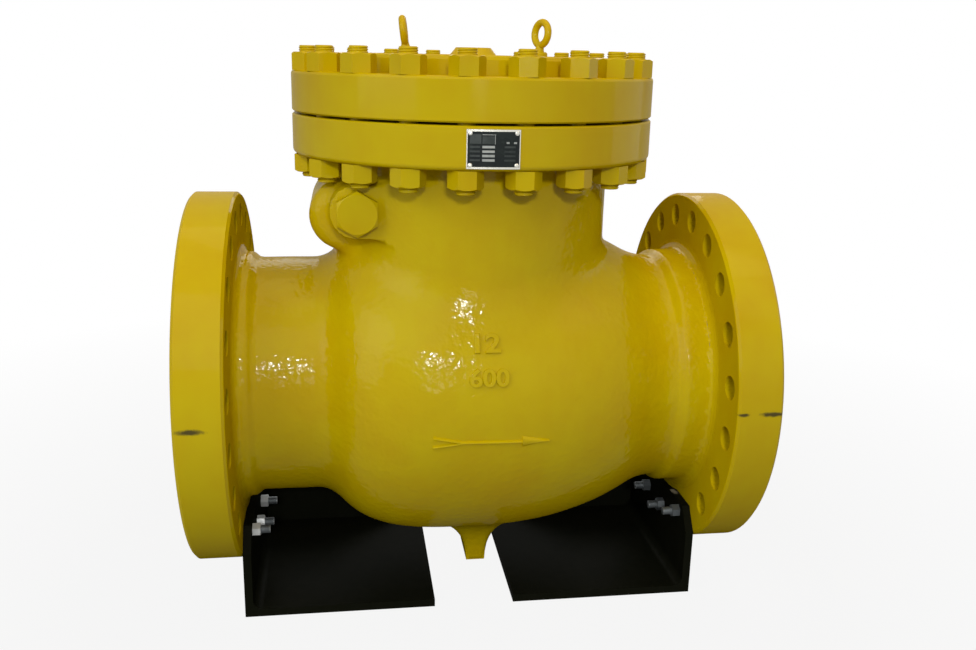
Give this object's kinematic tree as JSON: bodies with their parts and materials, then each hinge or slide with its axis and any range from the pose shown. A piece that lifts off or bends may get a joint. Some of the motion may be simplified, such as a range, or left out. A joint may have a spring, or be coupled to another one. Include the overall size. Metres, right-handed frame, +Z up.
{
  "type": "non-return valve",
  "caption": "Flanged swing check valve with a round bolted cover: a hinged disc inside opens with the flow and falls shut against its seat. It stands on two black angle plates.",
  "frame": {"origin": "on the floor, midway between the two raised faces and between the two sides, so at the bottom centre of the bounding box", "axes": "+X along the pipe in the direction of flow, from inlet to outlet; +Y to the rear; +Z up. The pipe axis lies 336 mm above the floor"},
  "size_m": [0.8512, 0.5586, 0.8746],
  "materials": {
    "yellow_enamel": "glossy yellow enamel, brushed and sprayed over rough cast steel",
    "black_paint": "satin black paint on rolled steel plate",
    "zinc_steel": "zinc-plated steel",
    "trim_steel": "ground stainless steel",
    "cast_steel": "plain cast steel",
    "bronze": "turned bronze",
    "graphite": "steel winding filled with graphite",
    "plate_metal": "dark anodised aluminium plate",
    "rivet_metal": "bare aluminium"
  },
  "bodies": {
    "valve": {"body": "yellow_enamel", "seat_ring": "trim_steel", "cover": "yellow_enamel", "cover_gasket": "graphite", "cover_studs": "yellow_enamel", "cover_top_nuts": "yellow_enamel", "cover_bottom_nuts": "yellow_enamel", "hinge_pin": "trim_steel", "front_hinge_plug": "yellow_enamel", "rear_hinge_plug": "yellow_enamel", "plug_washers": "graphite", "left_eyebolt": "yellow_enamel", "right_eyebolt": "yellow_enamel", "nameplate": "plate_metal", "nameplate_rivets": "rivet_metal", "left_stand": "black_paint", "right_stand": "black_paint", "left_stand_bolts": "zinc_steel", "right_stand_bolts": "zinc_steel", "left_stand_nuts": "zinc_steel", "right_stand_nuts": "zinc_steel", "stand_washers": "zinc_steel"},
    "swing_arm": {"hinge_arm": "cast_steel", "arm_bushes": "bronze"},
    "disc": {"disc": "trim_steel", "disc_washer": "trim_steel", "disc_nut": "trim_steel", "split_pin": "trim_steel"}
  },
  "joints": [
    {"name": "disc_swing", "type": "hinge", "parent": "valve", "child": "swing_arm", "pos_m": [-0.172, 0, 0.609], "axis": [0, -1, 0], "range_deg": [0, 55]},
    {"name": "disc_spin", "type": "hinge", "parent": "swing_arm", "child": "disc", "pos_m": [-0.1104, 0, 0.336], "axis": [1, 0, 0], "continuous": true}
  ]
}
